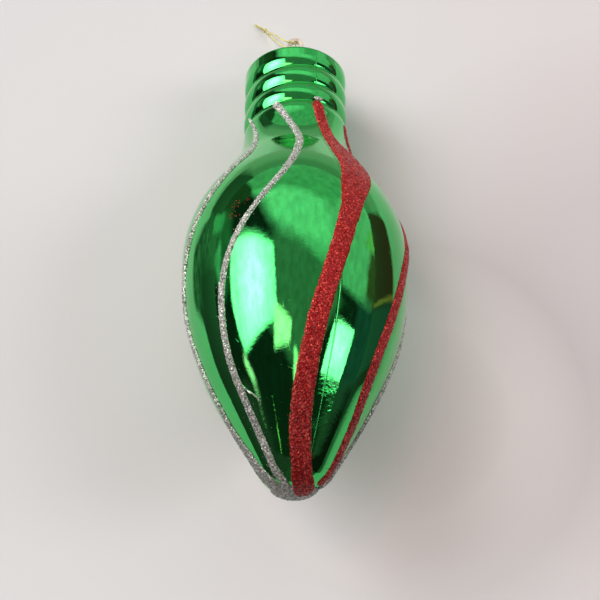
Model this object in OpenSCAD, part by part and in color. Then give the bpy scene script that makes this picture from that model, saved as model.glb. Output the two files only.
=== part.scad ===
// A light-bulb shaped hanging ornament: two hollow plated half shells closed over a hanger plug,
// eight beads of glitter glue that run down the outside to a pool of it on the tip, and a knotted
// thread loop through the plug's eye.
// The bulb lies on a surface with its tip toward -Y, resting on its shoulder and its collar's rim.
// Heights run along the bulb's axis from the tip. Azimuths are in degrees round that axis:
// 0 faces up from the surface and 90 faces +X.

/* [Bulb outline] */
// Radius of the belly
belly_radius = 32; // [30:0.5:35]
// Radius of the rounded tip
tip_radius = 11; // [9:0.5:13]
// Slope of the straight stretch above the tip, in degrees
cone_angle = 29; // [27:0.5:31]
// Radius of the long arc from that stretch to the belly
flank_radius = 98; // [88:1:104]
// Radius of the arc from the belly to the shoulder
shoulder_radius = 43; // [39:1:47]
// Slope of the shoulder, in degrees
shoulder_angle = 30.5; // [28:0.5:33]
// Radius of the hollow between the shoulder and the neck
fillet_radius = 31; // [24:1:34]
// Radius of the neck and of the thread's crests
neck_radius = 15.5; // [14.5:0.5:17]
// Length of the threaded collar from the fillet's end to the rim
collar_length = 24.4; // [22:0.2:30]
// Thickness of the shells' wall
wall = 1.6; // [1.4:0.1:2]

/* [Screw thread] */
// Rise of the thread in one turn
thread_pitch = 7; // [6:0.25:7.5]
// Depth of the creases between the rounded crests
thread_depth = 0.95; // [0.6:0.05:1.1]
// Azimuth where the lowest crease starts at the fillet's end, in degrees
thread_start_azimuth = -161; // [-180:1:-140]
// Distance from the rim down to the end of the top crease
thread_stop = 3.4; // [3:0.1:4.4]

/* [Closed end] */
// Radius of the rim's rounded edge
rim_radius = 1.2; // [0.8:0.1:1.4]
// Height of the cone that closes the collar
end_cone_height = 5.5; // [4.5:0.25:6.5]
// Radius of the flat boss on that cone
boss_radius = 5.2; // [5:0.1:6]

/* [Seam] */
// Azimuth of the seam between the two half shells, in degrees
seam_azimuth = 24.5; // [20:0.5:30]
// Thickness of the tongue along the seam
tongue_thickness = 0.6; // [0.4:0.05:0.7]
// Height of the tongue
tongue_height = 0.8; // [0.5:0.1:1.2]
// Clearance round the tongue in its groove
tongue_clearance = 0.05; // [0.03:0.01:0.1]

/* [Hanger plug] */
// Radius of the plug's stem
stem_radius = 2.9; // [2.4:0.1:3.2]
// Clearance of the stem in its hole
stem_clearance = 0.1; // [0.05:0.05:0.2]
// Radius of the flange outside and of the barb inside
flange_radius = 4.4; // [4:0.1:4.8]
// Thickness of the flange and of the barb
flange_thickness = 1.2; // [0.8:0.1:1.6]
// Clearance under the flange and over the barb
seat_clearance = 0.05; // [0.02:0.01:0.1]
// Height of the eye above the flange
eye_height = 10.6; // [9.8:0.1:12]
// Radius of the eye's rounded end
eye_radius = 2.6; // [2.4:0.1:3]
// Thickness of the eye
eye_thickness = 1.4; // [1.2:0.1:1.6]
// Radius of the slot in the eye
slot_radius = 1.3; // [1.1:0.05:1.4]
// Distance between the centres of the slot's round ends
slot_length = 3; // [2:0.1:3.6]

/* [Glitter stripes] */
// Width of a silver stripe
silver_width = 2.3; // [1.6:0.1:2.8]
// Width of a red stripe
red_width = 5.6; // [4:0.1:6.2]
// Height of a silver stripe
silver_height = 0.6; // [0.3:0.05:0.8]
// Height of a red stripe
red_height = 0.5; // [0.3:0.05:0.7]
// Clearance between a stripe and the shell
stripe_clearance = 0.05; // [0.04:0.01:0.1]

/* [Thread loop] */
// Diameter of the thread
thread_diameter = 0.55; // [0.4:0.05:0.6]
// Diameter of the knot
knot_diameter = 1.6; // [1.4:0.1:2]

/* [Hidden] */
$fn = 64;
// Run of a cut past the face that it leaves through
overrun = 0.6;

// The outline's arcs meet in tangents, which places the belly, the shoulder, the fillet and the neck
flank_end_radius = belly_radius - flank_radius * (1 - cos(cone_angle));
ball_end_height = tip_radius * (1 - sin(cone_angle));
flank_end_height = tip_radius + (flank_end_radius - tip_radius / cos(cone_angle)) / tan(cone_angle);
belly_height = flank_end_height + flank_radius * sin(cone_angle);
shoulder_end_height = belly_height + shoulder_radius * sin(shoulder_angle);
shoulder_end_radius = belly_radius - shoulder_radius * (1 - cos(shoulder_angle));
fillet_start_radius = neck_radius + fillet_radius * (1 - cos(shoulder_angle));
fillet_start_height = shoulder_end_height
    + (shoulder_end_radius - fillet_start_radius) / tan(shoulder_angle);
neck_height = fillet_start_height + fillet_radius * sin(shoulder_angle);
body_length = neck_height + collar_length;

// The closed end: a shallow cone from the rim to the boss, and its inner face one wall below it
end_height = body_length + end_cone_height;
end_slope = atan2(neck_radius - rim_radius - boss_radius, end_cone_height);
inner_cone_radius = boss_radius - wall * cos(end_slope);
inner_cone_height = end_height - wall * sin(end_slope);
inner_corner_height = inner_cone_height
    - (neck_radius - wall - inner_cone_radius) / tan(end_slope);
inner_flat_radius = inner_cone_radius + (inner_cone_height - end_height + wall) * tan(end_slope);

// The bulb lies on a line that touches the shoulder's arc and the rim's rounded edge
rest_run = body_length - rim_radius - belly_height;
rest_rise = neck_radius - rim_radius - belly_radius + shoulder_radius;
tilt = asin((shoulder_radius - rim_radius) / norm([rest_run, rest_rise])) - atan2(rest_rise, rest_run);
axis_height = belly_height * sin(tilt) + (belly_radius - shoulder_radius) * cos(tilt) + shoulder_radius;

// The hanger plug along the axis
flange_height = end_height + seat_clearance;
eye_end_height = flange_height + flange_thickness + eye_height;
eye_centre_height = eye_end_height - eye_radius;
near_end = tip_radius * cos(tilt) - tip_radius - stripe_clearance - silver_height;
far_end = eye_centre_height * cos(tilt) + eye_radius * cos(tilt) + eye_thickness / 2 * sin(tilt);

// Rings of the thread's crease, the share of its run in which it fades at each end, and the points
// of its section as shares of its half width and depth
rings_per_turn = 36;
thread_rings = round((collar_length - thread_stop) / thread_pitch * rings_per_turn);
crease_fade_share = 0.1;
crease_shares = [[-0.85, 0.02], [-0.4, 0.36], [0, 1], [0.4, 0.36], [0.85, 0.02]];

// Cross sections of the stripes, as shares of their half width and height
bead_shares = [[-1, 0], [0, 0], [1, 0], [0.7, 0.7], [0, 1], [-0.7, 0.7]];
band_shares = [[-1, 0], [-0.5, 0], [0, 0], [0.5, 0], [1, 0],
               [0.85, 0.75], [0.4, 0.95], [0, 1], [-0.4, 0.95], [-0.85, 0.75]];
steps_per_stretch = 5;
end_taper_share = 0.35;

// Routes of the stripes: the height as a share of body_length, the azimuth in degrees, and the
// width as a share of the stripe's own. On the underside, silver_4 and red_3 close in on both
// sides of the shoulder's point of rest, so the bulb lies between them and doesn't roll.
silver_1_shares = [[0.84, -21, 1.2], [0.785, -6, 1], [0.73, 3, 1], [0.665, 2, 1], [0.585, -4, 1],
    [0.515, -15, 0.95], [0.45, -27, 0.95], [0.375, -37.5, 0.95], [0.29, -44, 0.95],
    [0.195, -47, 1], [0.105, -44.5, 1], [0.038, -40, 1], [0.012, -37, 0.7]];
silver_2_shares = [[0.845, -62, 0.9], [0.8, -49, 0.9], [0.75, -40, 0.9], [0.69, -34, 0.9],
    [0.62, -42, 0.9], [0.56, -51, 0.9], [0.49, -65, 0.9], [0.41, -77, 0.9], [0.345, -82, 0.9],
    [0.265, -81, 0.9], [0.19, -82, 0.9], [0.12, -84, 1.1], [0.065, -77, 1.4], [0.028, -70, 1.7],
    [0.012, -72, 1.3]];
silver_3_shares = [[0.84, 120, 1], [0.75, 132, 1], [0.665, 127, 0.9], [0.58, 118, 0.9],
    [0.495, 108, 0.9], [0.4, 100, 0.9], [0.3, 95, 0.8], [0.195, 92, 0.8], [0.12, 103, 0.8],
    [0.07, 100, 0.8], [0.03, 97, 0.8], [0.012, 100, 0.6]];
silver_4_shares = [[0.84, 148, 1], [0.74, 162, 1], [0.64, 168.5, 1], [0.57, 167.5, 1],
    [0.5, 161, 1], [0.42, 152, 1], [0.33, 144, 1], [0.235, 141, 1], [0.135, 143, 1],
    [0.06, 146, 0.9], [0.012, 146, 0.6]];
red_1_shares = [[0.852, 25, 0.65], [0.8, 29.8, 0.7], [0.76, 33.3, 0.8], [0.735, 36, 1.05],
    [0.705, 38.6, 1.55], [0.665, 38, 1.8], [0.6, 36, 1.85], [0.555, 32, 1.6], [0.505, 29, 1.2],
    [0.455, 26, 1.05], [0.38, 21.5, 1], [0.3, 16, 1], [0.22, 11.5, 1], [0.14, 7.5, 1.02],
    [0.075, 7, 1.05], [0.034, 10, 0.95], [0.012, 13, 0.7]];
red_2_shares = [[0.84, 72, 0.5], [0.76, 84, 0.7], [0.68, 88, 0.9], [0.59, 84, 1], [0.515, 79, 1],
    [0.45, 72, 1], [0.38, 67, 1], [0.31, 63, 1], [0.235, 61, 1], [0.175, 63, 0.95],
    [0.115, 69, 0.85], [0.06, 73, 0.65], [0.03, 72, 0.5], [0.012, 70, 0.4]];
red_3_shares = [[0.84, 196, 0.6], [0.74, 205, 1.1], [0.65, 202, 1.25], [0.57, 195.5, 1.05],
    [0.5, 190, 1], [0.42, 187, 1], [0.33, 188, 1], [0.235, 190, 1], [0.135, 194, 0.95],
    [0.06, 198, 0.8], [0.012, 200, 0.5]];
red_4_shares = [[0.84, 252, 0.6], [0.74, 260, 1], [0.64, 257, 1.2], [0.55, 251, 1], [0.45, 245, 1],
    [0.345, 240, 1], [0.235, 237, 1], [0.135, 234, 0.9], [0.06, 232, 0.7], [0.012, 230, 0.45]];

// Height of the pool on the tip as a share of body_length, short of the stripes' ends, and how far
// its upper face draws in at the edge, in degrees round the tip
pool_share = 0.0105;
pool_edge = 5;

// Route of the thread from the knot through the eye and back, and of its two tails. X runs out
// from the centre of the eye's round end, Y to the left of the plug and Z through the eye, turned
// by thread_swing.
thread_swing = 36;
thread_route = [[16.4, 0, -7.2], [14.8, 0, -7.2], [12.8, 0, -6.9], [10.4, 0.3, -6.2],
    [7.6, 0.8, -5.1], [5, 0.9, -4], [3, 0.6, -3], [1.6, 0.3, -2.2], [0.7, 0.1, -1.5],
    [0.15, 0, -0.8], [0, 0, 0], [0.1, 0.1, 0.8], [0.5, 0.5, 1.4], [1.1, 1.1, 1.6],
    [1.8, 1.6, 1.4], [2.6, 1.9, 1.1], [3.8, 2, 0.5], [5.2, 1.8, -0.3], [6.6, 1.4, -1.2],
    [9.2, 0.7, -2.8], [12.2, 0.2, -4.7], [14.8, 0, -6.4], [16.4, 0, -6.9]];
long_tail_route = [[16.8, 0, -7], [18.2, 0.1, -7.1], [19.8, 0.6, -7], [21, 1.2, -6.9]];
short_tail_route = [[16.8, 0, -7], [18, 0.4, -6.7], [19.2, 0.8, -6.9], [20.2, 1, -6.9]];
thread_sides = 8;

// Points of an arc as [radius, height]
function arc_points(centre_radius, centre_height, radius, from, to, steps) =
    [for (i = [0:steps]) let (a = from + (to - from) * i / steps)
        [centre_radius + radius * cos(a), centre_height + radius * sin(a)]];

// The bulb's outline from the straight stretch to the fillet, drawn in by an inset and run on at
// both ends by an extra length
function flank_points(inset, fillet_end, extra = 0) = concat(
    arc_points(belly_radius - flank_radius, belly_height, flank_radius - inset,
               -cone_angle - asin(extra / flank_radius), 0, 8),
    arc_points(belly_radius - shoulder_radius, belly_height, shoulder_radius - inset,
               shoulder_angle / 6, shoulder_angle, 5),
    arc_points(neck_radius + fillet_radius, neck_height, fillet_radius + inset,
               180 + shoulder_angle, fillet_end - asin(extra / fillet_radius), 6));

function tip_points(inset) =
    arc_points(0, tip_radius, tip_radius - inset, -90, -cone_angle, 6);

// Radius of the outline at a height, and the slope of its outward normal
function outline_radius(h) =
    h < ball_end_height ? sqrt(tip_radius * tip_radius - pow(tip_radius - h, 2))
    : h < flank_end_height ? flank_end_radius - (flank_end_height - h) * tan(cone_angle)
    : h < belly_height ? belly_radius - flank_radius
        + sqrt(flank_radius * flank_radius - pow(belly_height - h, 2))
    : h < shoulder_end_height ? belly_radius - shoulder_radius
        + sqrt(shoulder_radius * shoulder_radius - pow(h - belly_height, 2))
    : h < fillet_start_height ? shoulder_end_radius - (h - shoulder_end_height) * tan(shoulder_angle)
    : h < neck_height ? neck_radius + fillet_radius
        - sqrt(fillet_radius * fillet_radius - pow(neck_height - h, 2))
    : neck_radius;

function outline_slope(h) =
    h < ball_end_height ? -asin((tip_radius - h) / tip_radius)
    : h < flank_end_height ? -cone_angle
    : h < belly_height ? -asin((belly_height - h) / flank_radius)
    : h < shoulder_end_height ? asin((h - belly_height) / shoulder_radius)
    : h < fillet_start_height ? shoulder_angle
    : h < neck_height ? asin((neck_height - h) / fillet_radius)
    : 0;

// A point off the outline: a height, an azimuth, an offset to the side and a lift from the surface
function surface_point(h, azimuth, side, lift) =
    let (radius = outline_radius(h),
         slope = outline_slope(h),
         out = radius + lift * cos(slope),
         angle = azimuth + side / radius * 180 / PI)
    [out * cos(angle), out * sin(angle), h + lift * sin(slope)];

// A smooth run through points, counted in stretches from the first
function run_point(points, t) =
    let (last = len(points) - 1,
         i = min(floor(t), last - 1),
         f = t - i,
         a = points[max(i - 1, 0)],
         b = points[i],
         c = points[i + 1],
         d = points[min(i + 2, last)])
    b + (c - a) * f / 2 + (2 * a - 5 * b + 4 * c - d) * f * f / 2
        + (3 * b - 3 * c + d - a) * f * f * f / 2;

function unit(v) = v / norm(v);

function reversed(points) = [for (i = [len(points) - 1:-1:0]) points[i]];

// A closed solid over equal rings of points
module ring_solid(rings) {
    sides = len(rings[0]);
    count = len(rings);
    polyhedron(
        points = [for (ring = rings) for (p = ring) p],
        faces = concat(
            [[for (k = [0:sides - 1]) k]],
            [for (i = [0:count - 2]) for (k = [0:sides - 1])
                let (a = i * sides + k, b = i * sides + (k + 1) % sides)
                [a, a + sides, b + sides]],
            [for (i = [0:count - 2]) for (k = [0:sides - 1])
                let (a = i * sides + k, b = i * sides + (k + 1) % sides)
                [a, b + sides, b]],
            [[for (k = [sides - 1:-1:0]) (count - 1) * sides + k]]),
        convexity = 8);
}

// Places what is drawn up the bulb's axis, with azimuth 0 on +X, where the bulb lies
module lying() {
    translate([0, -(near_end + far_end) / 2, axis_height])
        rotate([-90 - tilt, 0, 0]) rotate([0, 0, -90]) children();
}

// The crease's helical cutter, which rises out of the neck's surface at its two ends
module thread_cutter() {
    half_width = thread_pitch / 2;
    rings = [for (i = [0:thread_rings])
        let (angle = thread_start_azimuth + 360 * i / rings_per_turn,
             middle = neck_height + thread_pitch * i / rings_per_turn,
             fade = min(1, min(i, thread_rings - i) / thread_rings / crease_fade_share),
             bite = sin(90 * fade),
             floor_radius = neck_radius + overrun * (1 - bite),
             section = concat(
                 [for (p = crease_shares)
                     [floor_radius - p[1] * bite * thread_depth, p[0] * half_width]],
                 [[neck_radius + 2 * overrun, crease_shares[4][0] * half_width],
                  [neck_radius + 2 * overrun, crease_shares[0][0] * half_width]]))
        [for (p = section) [p[0] * cos(angle), p[0] * sin(angle), middle + p[1]]]];
    ring_solid(rings);
}

module shell_section() {
    inner = concat(tip_points(wall), flank_points(wall, 180));
    polygon(concat(
        tip_points(0),
        flank_points(0, 180),
        arc_points(neck_radius - rim_radius, body_length - rim_radius, rim_radius, 0, end_slope, 4),
        [[boss_radius, end_height],
         [stem_radius + stem_clearance, end_height],
         [stem_radius + stem_clearance, end_height - wall],
         [inner_flat_radius, end_height - wall],
         [neck_radius - wall, inner_corner_height]],
        reversed(inner)));
}

// Half of the hollow bulb, from azimuth 0 to 180
module half_bulb() {
    rotate_extrude(angle = 180) shell_section();
}

// The band along both seam faces that forms the tongue, or its groove with a clearance
module seam_band(clearance) {
    outer = (wall - tongue_thickness) / 2 - clearance;
    inner = (wall + tongue_thickness) / 2 + clearance;
    fillet_end = 180 + shoulder_angle / 2;
    band = concat(flank_points(outer, fillet_end, clearance),
                  reversed(flank_points(inner, fillet_end, clearance)));
    for (side = [0, 1])
        mirror([side, 0, 0])
            translate([0, tongue_height, 0]) rotate([90, 0, 0])
                linear_extrude(height = 2 * tongue_height + clearance) polygon(band);
}

module shell_right() {
    color("#1f9d45") lying() difference() {
        rotate([0, 0, seam_azimuth]) {
            half_bulb();
            seam_band(0);
        }
        thread_cutter();
    }
}

module shell_left() {
    color("#1f9d45") lying() difference() {
        rotate([0, 0, seam_azimuth + 180]) half_bulb();
        rotate([0, 0, seam_azimuth]) seam_band(tongue_clearance);
        thread_cutter();
    }
}

module hanger_plug() {
    barb_height = end_height - wall - seat_clearance - flange_thickness;
    color("#e3cda0") lying() {
        translate([0, 0, barb_height])
            cylinder(h = flange_thickness, r1 = stem_radius, r2 = flange_radius);
        translate([0, 0, barb_height])
            cylinder(h = flange_height - barb_height + flange_thickness, r = stem_radius);
        translate([0, 0, flange_height]) cylinder(h = flange_thickness, r = flange_radius);
        rotate([90, 0, 90]) linear_extrude(height = eye_thickness, center = true) eye_outline();
    }
}

module eye_outline() {
    foot_height = flange_height + flange_thickness / 2;
    difference() {
        union() {
            translate([0, eye_centre_height]) circle(r = eye_radius);
            translate([-eye_radius, foot_height])
                square([2 * eye_radius, eye_centre_height - foot_height]);
        }
        translate([0, eye_centre_height]) circle(r = slot_radius);
        translate([0, eye_centre_height - slot_length]) circle(r = slot_radius);
        translate([-slot_radius, eye_centre_height - slot_length])
            square([2 * slot_radius, slot_length]);
    }
}

// A bead of glitter glue that follows the bulb's surface along a route of shares
module stripe(route_shares, width, height, section_shares) {
    stretches = len(route_shares) - 1;
    rings = [for (i = [0:stretches * steps_per_stretch])
        let (t = i / steps_per_stretch,
             p = run_point(route_shares, t),
             taper = min(1, end_taper_share + min(t, stretches - t)))
        [for (q = section_shares)
            surface_point(p[0] * body_length, p[1], q[0] * p[2] * width / 2,
                          stripe_clearance + q[1] * height * taper)]];
    lying() ring_solid(rings);
}

module silver_stripe(route_shares) {
    color("#c9ccd0") stripe(route_shares, silver_width, silver_height, bead_shares);
}

module red_stripe(route_shares) {
    color("#b3202a") stripe(route_shares, red_width, red_height, band_shares);
}

// The cap of glitter glue that the stripes run into
module silver_pool() {
    edge = asin(pool_share * body_length / tip_radius - 1);
    inner = tip_radius + stripe_clearance;
    color("#c9ccd0") lying() rotate_extrude() polygon(concat(
        arc_points(0, tip_radius, inner, -90, edge, 4),
        reversed(arc_points(0, tip_radius, inner + silver_height, -90, edge - pool_edge, 4))));
}

// Places what is drawn round the centre of the eye's round end, with X out along the thread
module at_eye() {
    lying() translate([0, 0, eye_centre_height])
        rotate([180, -90, 0]) rotate([0, 0, thread_swing]) children();
}

// A tube of the thread through a route, with its sides set square to the route
module thread_tube(route, steps) {
    count = (len(route) - 1) * steps;
    reach = thread_diameter / 2;
    middles = [for (i = [0:count]) run_point(route, i / steps)];
    ring_solid([for (i = [0:count])
        let (along = unit(middles[min(i + 1, count)] - middles[max(i - 1, 0)]),
             across = unit(cross(along, [0, 1, 0])),
             up = cross(across, along))
        [for (k = [0:thread_sides - 1])
            let (a = -360 * k / thread_sides)
            middles[i] + reach * (cos(a) * across + sin(a) * up)]]);
}

module thread_loop() {
    color("#c9b45c") at_eye() thread_tube(thread_route, 3);
}

module thread_knot() {
    wrap_radius = (knot_diameter - thread_diameter) / 2;
    color("#c9b45c") at_eye() {
        translate(long_tail_route[0]) {
            sphere(r = wrap_radius);
            for (turn = [-35, 35])
                rotate([0, 90 + turn, 0]) rotate_extrude()
                    translate([wrap_radius, 0]) circle(r = thread_diameter / 2, $fn = 16);
        }
        thread_tube(long_tail_route, 3);
        thread_tube(short_tail_route, 3);
    }
}

shell_right();
shell_left();
hanger_plug();
silver_stripe(silver_1_shares);  // silver_stripe_1
silver_stripe(silver_2_shares);  // silver_stripe_2
silver_stripe(silver_3_shares);  // silver_stripe_3
silver_stripe(silver_4_shares);  // silver_stripe_4
red_stripe(red_1_shares);  // red_stripe_1
red_stripe(red_2_shares);  // red_stripe_2
red_stripe(red_3_shares);  // red_stripe_3
red_stripe(red_4_shares);  // red_stripe_4
silver_pool();
thread_loop();
thread_knot();
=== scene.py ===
"""The looks of a bulb-shaped hanging ornament, and the room that its mirror finish shows.

It has green metallised plating, raised glitter stripes, a pearly plug and a metallic thread loop.
Lengths are in millimetres until MM turns them into metres. Shaders and the studio work in metres.
Azimuths are in degrees: round the bulb's axis 0 faces up and 90 to the right, and in the room 0 is
straight ahead of the camera and 90 to its right.
"""

import math

import bpy
import numpy as np
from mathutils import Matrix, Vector
from mathutils.geometry import delaunay_2d_cdt


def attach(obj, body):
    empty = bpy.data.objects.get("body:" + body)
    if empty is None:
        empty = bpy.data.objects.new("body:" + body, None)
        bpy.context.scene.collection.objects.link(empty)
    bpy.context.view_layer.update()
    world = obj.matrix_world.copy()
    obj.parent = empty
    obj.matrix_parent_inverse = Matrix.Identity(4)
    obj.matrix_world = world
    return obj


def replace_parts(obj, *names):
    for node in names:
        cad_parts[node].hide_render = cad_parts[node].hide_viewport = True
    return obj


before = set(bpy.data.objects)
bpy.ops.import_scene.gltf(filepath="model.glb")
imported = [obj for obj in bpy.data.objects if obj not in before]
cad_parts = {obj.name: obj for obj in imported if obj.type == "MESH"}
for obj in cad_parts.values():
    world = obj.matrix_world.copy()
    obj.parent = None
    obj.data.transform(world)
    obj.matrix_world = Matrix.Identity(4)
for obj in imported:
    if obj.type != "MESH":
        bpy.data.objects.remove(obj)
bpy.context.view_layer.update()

MM = 0.001
rng = np.random.default_rng(11)

# The ornament's sizes in millimetres, as the solids have them.
# Radii of the outline's arcs and of the neck, and slopes of the outline's two straight stretches
BELLY, TIP, FLANK, SHOULDER, FILLET, NECK = 32.0, 11.0, 98.0, 43.0, 31.0, 15.5
CONE, SHOULDER_ANGLE = math.radians(29), math.radians(30.5)
# Length of the collar, rounding of its rim, height of the cone that closes it, radii of that cone's boss
# and of the hole in it, and the wall's thickness
COLLAR, RIM, END_CONE, BOSS, HOLE, WALL = 24.4, 1.2, 5.5, 5.2, 3.0, 1.6
# The screw thread's pitch, its creases' depth, the azimuth where they start at the neck, the distance
# from the rim where they stop, how far they lift off as they fade, and over what share of their run
PITCH, DEPTH, THREAD_START, THREAD_STOP, LIFT_OFF = 7.0, 0.95, -161.0, 3.4, 0.6
CREASE_FADE_SHARE, CREST_ROUNDING = 0.1, 0.03
# Azimuth of the seam
SEAM = 24.5
SEAT_CLEARANCE, FLANGE_THICKNESS, EYE_HEIGHT, EYE_RADIUS, EYE_THICKNESS = 0.05, 1.2, 10.6, 2.6, 1.4
SILVER_WIDTH, RED_WIDTH, SILVER_HEIGHT, RED_HEIGHT, GLUE_GAP = 2.3, 5.6, 0.6, 0.5, 0.05

flank_end_radius = BELLY - FLANK * (1 - math.cos(CONE))
ball_end = TIP * (1 - math.sin(CONE))
flank_end = TIP + (flank_end_radius - TIP / math.cos(CONE)) / math.tan(CONE)
belly_height = flank_end + FLANK * math.sin(CONE)
shoulder_end = belly_height + SHOULDER * math.sin(SHOULDER_ANGLE)
shoulder_end_radius = BELLY - SHOULDER * (1 - math.cos(SHOULDER_ANGLE))
fillet_start_radius = NECK + FILLET * (1 - math.cos(SHOULDER_ANGLE))
fillet_start = shoulder_end + (shoulder_end_radius - fillet_start_radius) / math.tan(SHOULDER_ANGLE)
neck_height = fillet_start + FILLET * math.sin(SHOULDER_ANGLE)
LENGTH = neck_height + COLLAR
end_height = LENGTH + END_CONE

# Where the bulb lies: its axis is tipped down towards the collar
rest_run = LENGTH - RIM - belly_height
rest_rise = NECK - RIM - BELLY + SHOULDER
TILT = math.asin((SHOULDER - RIM) / math.hypot(rest_run, rest_rise)) - math.atan2(rest_rise, rest_run)
AXIS_HEIGHT = belly_height * math.sin(TILT) + (BELLY - SHOULDER) * math.cos(TILT) + SHOULDER
EYE = end_height + SEAT_CLEARANCE + FLANGE_THICKNESS + EYE_HEIGHT - EYE_RADIUS
near_end = TIP * math.cos(TILT) - TIP - GLUE_GAP - SILVER_HEIGHT
far_end = (EYE + EYE_RADIUS) * math.cos(TILT) + EYE_THICKNESS / 2 * math.sin(TILT)
ALONG = np.array([0.0, math.cos(TILT), -math.sin(TILT)])
UP = np.array([0.0, math.sin(TILT), math.cos(TILT)])
RIGHT = np.array([1.0, 0.0, 0.0])
FOOT = np.array([0.0, -(near_end + far_end) / 2, AXIS_HEIGHT])


def outline(h):
    """Radius of the outline and slope of its outward normal at heights along the axis."""
    def root(v):
        return np.sqrt(np.maximum(v, 0.0))

    def turn(v):
        return np.arcsin(np.clip(v, -1.0, 1.0))

    h = np.asarray(h, float)
    cases = [h < end for end in (ball_end, flank_end, belly_height, shoulder_end, fillet_start, neck_height)]
    radius = np.select(cases, [
        root(TIP ** 2 - (TIP - h) ** 2),
        flank_end_radius - (flank_end - h) * math.tan(CONE),
        BELLY - FLANK + root(FLANK ** 2 - (belly_height - h) ** 2),
        BELLY - SHOULDER + root(SHOULDER ** 2 - (h - belly_height) ** 2),
        shoulder_end_radius - (h - shoulder_end) * math.tan(SHOULDER_ANGLE),
        NECK + FILLET - root(FILLET ** 2 - (neck_height - h) ** 2)], NECK)
    slope = np.select(cases, [
        -turn((TIP - h) / TIP), -CONE + 0 * h, -turn((belly_height - h) / FLANK),
        turn((h - belly_height) / SHOULDER), SHOULDER_ANGLE + 0 * h, turn((neck_height - h) / FILLET)], 0.0)
    return radius, slope


def place(radius, azimuth, height):
    """World points in metres from a radius, an azimuth in degrees and a height along the bulb's axis."""
    a = np.radians(azimuth)
    radius, a, height = np.broadcast_arrays(radius, a, height)
    p = (FOOT + height[..., None] * ALONG
         + (radius * np.cos(a))[..., None] * UP + (radius * np.sin(a))[..., None] * RIGHT)
    return p * MM


def on_surface(height, azimuth, lift=0.0):
    """World points at a lift in millimetres off the outline."""
    radius, slope = outline(height)
    return place(radius + lift * np.cos(slope), azimuth, height + lift * np.sin(slope))


# Distances from the tip's pole along a meridian, at heights that are close together near the pole
POLE_ZONE = 6.0
meridian_height = np.concatenate([np.linspace(0, 1, 400) ** 2 * POLE_ZONE,
                                  np.linspace(POLE_ZONE, LENGTH, 2400)[1:]])
meridian_steps = np.hypot(np.diff(meridian_height), np.diff(outline(meridian_height)[0]))
meridian_run = np.concatenate([[0.0], np.cumsum(meridian_steps)])


def mesh_object(name, verts, faces, smooth=True):
    """A linked object from vertices in metres and arrays of faces with one number of corners each."""
    mesh = bpy.data.meshes.new(name)
    faces = [np.asarray(f) for f in faces]
    verts = np.asarray(verts, np.float32)
    mesh.vertices.add(len(verts))
    mesh.vertices.foreach_set("co", verts.ravel())
    sizes = np.concatenate([np.full(len(f), f.shape[1]) for f in faces])
    loops = np.concatenate([f.ravel() for f in faces])
    mesh.loops.add(len(loops))
    mesh.loops.foreach_set("vertex_index", loops.astype(np.int32))
    mesh.polygons.add(len(sizes))
    starts = np.concatenate([[0], np.cumsum(sizes)[:-1]])
    mesh.polygons.foreach_set("loop_start", starts.astype(np.int32))
    mesh.update(calc_edges=True)
    mesh.polygons.foreach_set("use_smooth", np.full(len(sizes), smooth))
    mesh.validate()
    obj = bpy.data.objects.new(name, mesh)
    bpy.context.scene.collection.objects.link(obj)
    return obj


def grid_faces(rows, columns, closed=False):
    """Quads over a grid of points in rows; a closed grid joins its last column to its first."""
    i = np.arange(rows - 1)[:, None] * columns
    j = np.arange(columns if closed else columns - 1)[None, :]
    k = (j + 1) % columns
    return np.stack([i + j, i + k, i + k + columns, i + j + columns], -1).reshape(-1, 4)


def smooth_run(points, steps):
    """A smooth run through points with a number of steps in each stretch."""
    p = np.asarray(points, float)
    out = []
    for i in range(len(p) - 1):
        a, b, c, d = p[max(i - 1, 0)], p[i], p[i + 1], p[min(i + 2, len(p) - 1)]
        for k in range(steps):
            f = k / steps
            out.append(b + (c - a) * f / 2 + (2 * a - 5 * b + 4 * c - d) * f * f / 2
                       + (3 * b - 3 * c + d - a) * f ** 3 / 2)
    out.append(p[-1])
    return np.array(out)


def unit(v):
    """Rows of vectors at a length of one."""
    return v / np.linalg.norm(v, axis=1)[:, None]


def rings(middle, across, other, radius, sides):
    """A ring of points round each middle, in the plane of its two directions."""
    a = 2 * math.pi * np.arange(sides) / sides
    spokes = np.cos(a)[None, :, None] * across[:, None] + np.sin(a)[None, :, None] * other[:, None]
    return middle[:, None] + radius * spokes


# ---------------------------------------------------------------- camera
VIEW_ELEVATION = math.radians(54.75) + TILT
CAMERA_DISTANCE, SENSOR = 450.0, 36.0
# Millimetres that a pixel spans at the bulb, and pixels across the picture
PIXEL, PICTURE = 0.283, 600.0
# Where the camera aims: a height along the axis, then off it to the right and down the picture
AIM_HEIGHT, AIM_RIGHT, AIM_DOWN = 72.0, 1.415, 9.17
look = np.array([0.0, math.cos(VIEW_ELEVATION), -math.sin(VIEW_ELEVATION)])
look_up = np.array([0.0, math.sin(VIEW_ELEVATION), math.cos(VIEW_ELEVATION)])
aim = FOOT + AIM_HEIGHT * ALONG + AIM_RIGHT * RIGHT - AIM_DOWN * look_up
camera = bpy.data.objects.new("camera", bpy.data.cameras.new("camera"))
bpy.context.scene.collection.objects.link(camera)
camera.location = (aim - CAMERA_DISTANCE * look) * MM
camera.rotation_euler = (math.pi / 2 - VIEW_ELEVATION, 0.0, 0.0)
camera.data.sensor_width = SENSOR
camera.data.lens = SENSOR * CAMERA_DISTANCE / PIXEL / PICTURE
camera.data.clip_start = 0.01
bpy.context.scene.camera = camera


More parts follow.
